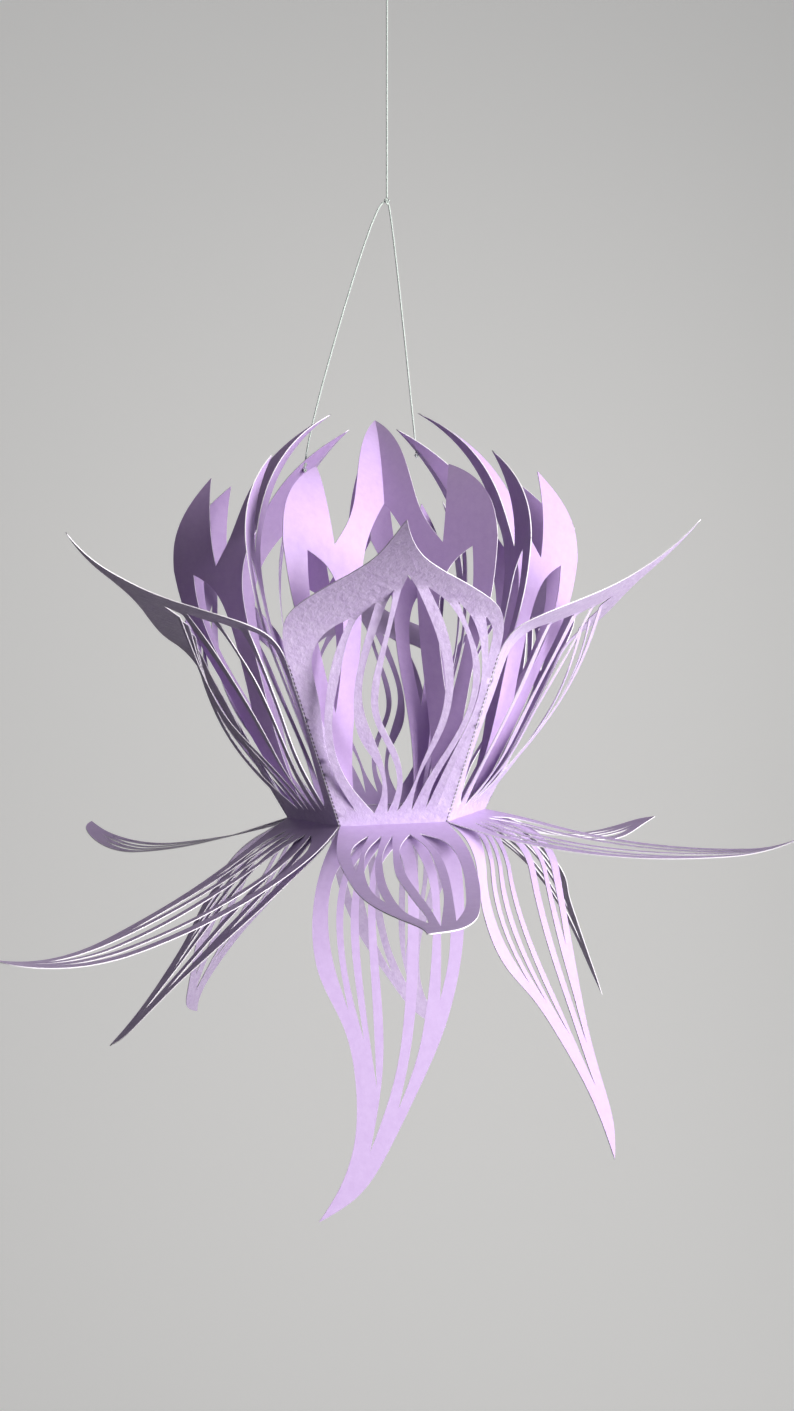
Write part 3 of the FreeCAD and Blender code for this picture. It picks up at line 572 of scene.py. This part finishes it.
# %% The base star
hang_left = [(-half_base + corner_gap, -root), (-19.6, 4.0), (-24.6, 18.0), (-27.8, 35.0), (-26.0, 52.6),
             (-19.6, 67.0), (-16.6, 84.0), (-18.0, 100.5), (-22.9, 112.0), (-28.7, hanging_length)]
hang_right = [(-28.7, hanging_length), (-16.8, 113.4), (-7.8, 102.0), (1.7, 86.0), (9.8, 71.0), (15.4, 56.0),
              (18.6, 42.0), (20.0, 26.0), (19.6, 8.0), (half_base - corner_gap, -root)]
hang_outline = [[(half_base - corner_gap, -root), (-half_base + corner_gap, -root)], hang_left, hang_right]
hang_slots = [
    ([(-12.6, 9.5), (-19.5, 19.0), (-22.8, 32.0), (-21.9, 48.0), (-17.9, 62.4)],
     [(-12.6, 9.5), (-17.8, 21.0), (-20.2, 32.0), (-20.1, 47.0), (-17.9, 62.4)]),
    ([(-8.6, 9.5), (-14.8, 19.0), (-18.0, 32.0), (-17.9, 50.0), (-13.6, 71.2)],
     [(-8.6, 9.5), (-13.0, 20.0), (-15.7, 32.0), (-15.8, 50.0), (-13.6, 71.2)]),
    ([(-5.0, 9.5), (-10.6, 19.0), (-13.3, 32.0), (-13.4, 52.0), (-10.5, 84.5)],
     [(-5.0, 9.5), (-8.6, 20.0), (-10.4, 32.0), (-10.6, 54.0), (-10.5, 84.5)]),
    ([(0.2, 9.5), (-6.0, 19.0), (-8.2, 32.0), (-8.0, 54.0), (-8.3, 78.0), (-13.2, 102.0)],
     [(0.2, 9.5), (2.0, 20.0), (1.6, 38.0), (-0.6, 60.0), (-5.0, 82.0), (-13.2, 102.0)]),
    ([(5.4, 9.5), (6.0, 22.0), (5.0, 38.0), (3.0, 58.0), (0.0, 75.0), (-4.4, 90.8)],
     [(5.4, 9.5), (9.0, 22.0), (9.0, 42.0), (6.2, 60.0), (1.8, 77.0), (-4.4, 90.8)]),
    ([(9.8, 9.5), (12.0, 22.0), (11.9, 36.0), (11.0, 50.0), (9.9, 60.6)],
     [(9.8, 9.5), (14.8, 20.0), (15.2, 34.0), (13.4, 49.0), (9.9, 60.6)]),
]


def shortened(strokes, share):
    """The same strokes on a leaf that is cut shorter."""
    return [[(u, s * share) for u, s in stroke] for stroke in strokes]


def base_star():
    piece = Piece("star_sheet", [plain_face, felt_face, edge_highlight])
    floor = Sheet(0, apothem, 0.0, -90.0, [(4.0 * apothem, 0.0)])
    corners = []
    for k in range(6):
        turn = math.radians(30 + 60 * k)
        corners.append((base_side * math.sin(turn), apothem - base_side * math.cos(turn)))
    piece.add(floor, [loop([[corners[i], corners[(i + 1) % 6]] for i in range(6)], 3.0)], step=5.0)
    for angle, (lean, swing, bends) in hanging_bends.items():
        leaf = Sheet(angle, apothem, 0.0, lean, bends, swing)
        share = hanging_share.get(angle, 1.0)
        slots = [shortened(wire, share) for wire in wires(hang_slots)]
        piece.add(leaf, [loop(shortened(hang_outline, share))] + [loop(wire, 1.2) for wire in slots])
    return piece.build()


finish_piece(base_star(), "base_star")

# %% [markdown]
# ## Flame petals
# A flame petal is pinched along its middle crease, so its two halves stand like an open book.
# The tall tip curls in over the cup, and the short lobe beside each slit curls by itself.
# Each half is flat card that is bent. Where the crease bends too, the halves meet in space,
# but they wouldn't quite unfold into one sheet.

# %% The inner petals
crotch, notch, notch_half, lobe_root_half = 109.0, 93.6, 20.0, 38.4
tall_tip, short_tip = 154.0, 126.0
flame_slit = ([(30.0, 91.5), (29.9, 82.0), (27.0, 62.0), (21.5, 40.0)],
              [(30.0, 91.5), (22.4, 86.0), (18.8, 78.0), (18.3, 60.0), (21.5, 40.0)])
flame_body = [
    [(14.5, 0.0), (17.0, 0.0)],
    [(17.0, 0.0), (23.0, 20.0), (27.0, 38.0), (30.5, 57.0), (35.5, 75.0), (lobe_root_half, notch)],
    [(lobe_root_half, notch), (notch_half, notch)],
    [(notch_half, notch), (13.8, 103.0), (10.8, 114.0), (8.8, 126.0), (5.9, 138.0), (2.4, 148.0),
     (0.0, tall_tip)],
    [(0.0, tall_tip), (0.0, crotch)],
    [(0.0, crotch), (6.0, 99.0), (9.6, 88.0), (10.6, 75.0), (11.6, 60.0), (14.2, 40.0), (15.6, 18.0),
     (14.5, 0.0)],
]
flame_lobe = [
    [(notch_half, notch), (lobe_root_half, notch)],
    [(lobe_root_half, notch), (37.6, 104.0), (33.4, 115.0), (25.5, short_tip)],
    [(25.5, short_tip), (23.6, 116.0), (21.8, 105.0), (notch_half, notch)],
]


class Half(Sheet):
    """One half of a pinched petal, drawn from the middle crease; side -1 is the left half."""

    def __init__(self, facing, side, runs):
        super().__init__(facing - side * pinch, petal_reach, petal_foot, petal_lean, runs)
        self.side = side

    def place(self, flat, off, free=None):
        crease = math.tan(math.radians(pinch)) * (petal_reach + self.out(flat[:, 1]))
        moved = np.stack([self.side * (flat[:, 0] + crease), flat[:, 1]], 1)
        return super().place(moved, off)


# Each leg of the thread passes through the right half of a petal: the petal's face angle, then
# how far from its crease and how far up the hole is.
knot_height, eye_radius = 223.5, 0.65
thread_eyes = {"left": (240, 4.2, 137.0), "right": (120, 2.6, 144.0)}


def eye(angle, away, up):
    """Middle of the hole in a petal, above the middle of the floor, in millimetres."""
    swing, middle, left, right = petal_set[angle]
    half = Half(angle + swing, 1, [(stem_run, 0.0), (middle_run, middle), (lobe_run, tall_turn)])
    spot = hung(half.place(np.array([[away, up]]), np.zeros(1)))[0] / mm
    return Vector(spot) + Vector((0, 0, ceiling_height))


eyes = {side: eye(*spot) for side, spot in thread_eyes.items()}
leg_bends = {
    "left": [Vector((-4.4, 0.3, knot_height - 1.0)), eyes["left"] + Vector((0.4, -0.9, 10.0))],
    "right": [Vector((1.9, 0.5, knot_height - 3.7))],
}


def eye_hole(side):
    """The hole on the flat petal: round along the thread, so it is long where the thread slants."""
    angle, away, up = thread_eyes[side]
    way = np.array((eyes[side] - leg_bends[side][-1]).normalized())
    nudge, middle = 0.1, np.array(eyes[side])
    across = (np.array(eye(angle, away + nudge, up)) - middle) / nudge
    along = (np.array(eye(angle, away, up + nudge)) - middle) / nudge
    seen = np.stack([across - way * (way @ across), along - way * (way @ along)], 1)
    turns = np.linspace(0.0, 2.0 * math.pi, 16, endpoint=False)
    ring = np.linalg.solve(np.linalg.cholesky(seen.T @ seen).T, np.stack([np.cos(turns), np.sin(turns)]))
    return [(away + eye_radius * u, up + eye_radius * v) for u, v in ring.T]


def inner_petal(number, angle):
    swing, middle, left, right = petal_set[angle]
    piece = Piece("flame_sheet_%d" % number, [flame_face, flame_face, edge_highlight])
    for side, short in ((1, right), (-1, left)):
        stem = [(stem_run, 0.0), (middle_run, middle)]
        body = Half(angle + swing, side, stem + [(lobe_run, tall_turn)])
        holes = [eye_hole(name) for name, spot in thread_eyes.items() if side == 1 and spot[0] == angle]
        piece.add(body, [loop(flame_body)] + [loop(wires([flame_slit])[0], 1.2)] + holes)
        piece.add(Half(angle + swing, side, stem + [(lobe_run, short)]), [loop(flame_lobe)])
    return piece.build()


for number, angle in enumerate(sorted(petal_set), 1):
    finish_piece(inner_petal(number, angle), "inner_petal_%d" % number)

# %% [markdown]
# ## Thread, knots and hook
# One thin line comes down from the ceiling hook to a knot. Two legs go on from the knot, pass
# through a hole in a petal on each side, and end in a knot under it. All of it is taut.

# %% Threads
thread = 0.7
strand_radius = thread * 0.42       # the thread is pulled thinner in a knot
knot_radius, end_knot_radius, knot_drop, clear = 1.2, 0.9, 1.0, 0.05
plate_thickness, hook_stub, hook_neck, hook_ring, hook_knot_gap = 1.6, 2.0, 2.5, 5.0, 7.5
hook_bottom = ceiling_height - plate_thickness - hook_stub - 2.0 * hook_neck - hook_ring
hook_knot_height = hook_bottom - hook_knot_gap
leg_lengths = {"left": 101.2, "right": 89.2}    # of the solid threads; the drawn lengths are printed beside them


def leg_route(eye_place, points):
    middle = Vector((0, 0, knot_height))
    start = middle + (points[0] - middle).normalized() * (knot_radius + clear)
    return [start] + points + [eye_place + (eye_place - points[-1]).normalized() * knot_drop]


def thread_curve(name, radius):
    curve = bpy.data.curves.new(name, "CURVE")
    curve.dimensions = "3D"
    curve.bevel_depth = radius * mm
    curve.bevel_resolution = 4
    curve.materials.append(thread_material)
    return curve


def stand_in(piece, node):
    """Put a piece of thread in the scene in place of its solid."""
    bpy.context.scene.collection.objects.link(piece)
    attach(piece, "root")
    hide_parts(node)
    return piece


def add_thread(name, node, route):
    """A taut thread whose control points are the route's points."""
    curve = thread_curve(name, thread / 2.0)
    spline = curve.splines.new("NURBS")
    spline.points.add(len(route) - 1)
    for point, place in zip(spline.points, route):
        point.co = (*((place - Vector((0, 0, ceiling_height))) * mm), 1.0)
    spline.order_u = 3 if len(route) > 2 else 2
    spline.use_endpoint_u = True
    spline.resolution_u = 16
    curve.use_fill_caps = True
    return stand_in(bpy.data.objects.new(name, curve), node)


def drawn_mesh(curve):
    """The mesh that a curve is drawn as, by way of an object that is then removed."""
    drawn = bpy.data.objects.new(curve.name + "_drawn", curve)
    bpy.context.scene.collection.objects.link(drawn)
    mesh = bpy.data.meshes.new_from_object(drawn.evaluated_get(bpy.context.evaluated_depsgraph_get()))
    bpy.data.objects.remove(drawn)
    return mesh


def length_of(line):
    """Length in metres of the curve as it is drawn."""
    bare = line.data.copy()
    bare.bevel_depth = 0.0
    mesh = drawn_mesh(bare)
    ends = [[mesh.vertices[i].co for i in edge.vertices] for edge in mesh.edges]
    return sum((one - other).length for one, other in ends)


def add_knot(name, node, place, radius):
    """A tight overhand knot: a thin tube along a closed trefoil."""
    curve = thread_curve(name, strand_radius)
    spline = curve.splines.new("NURBS")
    steps = 24
    spline.points.add(steps - 1)
    reach = (radius - strand_radius) / 3.0
    for k, point in enumerate(spline.points):
        t = 2.0 * math.pi * k / steps
        shape = Vector((math.sin(t) + 2.0 * math.sin(2.0 * t), -math.sin(3.0 * t) * 1.6,
                        math.cos(t) - 2.0 * math.cos(2.0 * t)))
        point.co = (*((place + shape * reach - Vector((0, 0, ceiling_height))) * mm), 1.0)
    spline.order_u = 4
    spline.use_cyclic_u = True
    return stand_in(bpy.data.objects.new(name, drawn_mesh(curve)), node)


upper_knot = add_knot("upper_knot", "hook_knot", Vector((0, 0, hook_knot_height)), knot_radius)
fork_knot = add_knot("fork_knot", "thread_knot", Vector((0, 0, knot_height)), knot_radius)
top = Vector((0, 0, hook_knot_height - knot_radius - clear))
foot = Vector((0, 0, knot_height + knot_radius + clear))
line = add_thread("hanging_line", "hanging_thread", [top, foot])
legs = {}
for side, points in leg_bends.items():
    route = leg_route(eyes[side], points)
    way = (route[-1] - route[-2]).normalized()
    below = route[-1] + way * (end_knot_radius + clear)
    end = add_knot(side + "_stop", side + "_end_knot", below, end_knot_radius)
    legs[side] = (add_thread(side + "_leg", side + "_thread", route), route[0], end)
for side, (leg, start, end) in legs.items():
    print(leg.name, "drawn %.1f mm of %.1f mm" % (length_of(leg) / mm, leg_lengths[side]))

# %% The CAD pieces that stay as they are
for node, material in (("ceiling_hook", hook_material), ("hook_loop", thread_material)):
    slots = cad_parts[node].data.materials
    slots.clear()
    slots.append(material)
print("hook and loop have their finish")

# %% [markdown]
# ## Studio
# The camera stands level, low beside the cup, and close, so the petals that come forward look
# larger. A big soft window is on the right, with a weak lamp above it. A wide and very faint
# one on the left stands for what the room throws back. The backdrop is pale only to the
# camera, so that it doesn't wash out the shaded side.

# %% Camera
middle_of_floor = Vector((0, 0, -ceiling_height * mm))
camera_data = bpy.data.cameras.new("camera")
camera_data.sensor_width = 36.0
camera_data.lens = 25.97
camera_data.shift_x, camera_data.shift_y = 0.0071, -0.0074
camera_data.clip_start = 0.01
camera = bpy.data.objects.new("camera", camera_data)
bpy.context.scene.collection.objects.link(camera)
yaw, distance, eye_level = math.radians(4.0), 0.371, 0.0436
camera.location = middle_of_floor + Vector((-distance * math.sin(yaw), -distance * math.cos(yaw), eye_level))
camera.rotation_euler = (math.radians(90.0), 0.0, -yaw)
bpy.context.scene.camera = camera
print("camera at", [round(v, 3) for v in camera.location])

# %% Light and backdrop


def area_light(name, azimuth, elevation, away, size, power, colour):
    light = bpy.data.lights.new(name, "AREA")
    light.shape, light.size, light.size_y = "RECTANGLE", size, size * 1.3
    light.energy, light.color = power, colour
    lamp = bpy.data.objects.new(name, light)
    a, e = math.radians(azimuth), math.radians(elevation)
    way = Vector((math.sin(a) * math.cos(e), -math.cos(a) * math.cos(e), math.sin(e)))
    lamp.location = middle_of_floor + Vector((0, 0, 0.05)) + way * away
    lamp.rotation_mode = "QUATERNION"
    lamp.rotation_quaternion = way.to_track_quat("Z", "Y")
    bpy.context.scene.collection.objects.link(lamp)
    return lamp


area_light("window", 47.0, 2.0, 1.1, 0.6, 24.0, (1.0, 0.98, 0.97))
area_light("ceiling", 30.0, 68.0, 1.0, 0.6, 1.8, (1.0, 0.98, 0.96))
area_light("room", -75.0, 5.0, 1.5, 1.2, 0.6, (0.95, 0.90, 1.0))


def camera_ray(tree):
    """1 for what the camera sees directly, in a mirror or through glass; 0 for bounced light."""
    path = tree.nodes.new("ShaderNodeLightPath")
    most = path.outputs["Is Camera Ray"]
    for kind in ("Is Glossy Ray", "Is Transmission Ray"):
        top_of = tree.nodes.new("ShaderNodeMath")
        top_of.operation = "MAXIMUM"
        tree.links.new(most, top_of.inputs[0])
        tree.links.new(path.outputs[kind], top_of.inputs[1])
        most = top_of.outputs[0]
    return most


def backdrop():
    """A floor that curves up into a wall behind the lantern."""
    reach, back, low, rise, bend = 6.0, 1.6, -1.25, 3.0, 0.8
    line = [(-4.0, low)] + [(back - bend + bend * math.sin(a), low + bend - bend * math.cos(a))
                            for a in np.linspace(0.0, math.pi / 2.0, 17)] + [(back, rise)]
    spots = [(x, y, z) for x in (-reach, reach) for y, z in line]
    count = len(line)
    mesh = bpy.data.meshes.new("studio_sweep")
    mesh.from_pydata(spots, [], [(i, i + 1, i + 1 + count, i + count) for i in range(count - 1)])
    mesh.polygons.foreach_set("use_smooth", [True] * (count - 1))
    material, tree, surface = shader("studio_paper", (0.80, 0.80, 0.79), 0.95)
    tree.links.new(between(tree, camera_ray(tree), (0.10, 0.10, 0.10), (0.80, 0.80, 0.79)),
                   surface.inputs["Base Color"])
    tree.links.new(between(tree, camera_ray(tree), (0.0, 0.0, 0.0), (0.27, 0.27, 0.265)),
                   surface.inputs["Emission Color"])
    surface.inputs["Emission Strength"].default_value = 1.0
    mesh.materials.append(material)
    sweep = bpy.data.objects.new("studio_sweep", mesh)
    bpy.context.scene.collection.objects.link(sweep)


backdrop()
world = bpy.data.worlds.new("room")
world.use_nodes = True
tree = world.node_tree
sky = tree.nodes["Background"]
sky_colour = between(tree, camera_ray(tree), (0.045, 0.045, 0.05), (0.8, 0.8, 0.79))
tree.links.new(sky_colour, sky.inputs["Color"])
sky.inputs["Strength"].default_value = 1.0
bpy.context.scene.world = world
bpy.context.scene.view_settings.view_transform = "Standard"
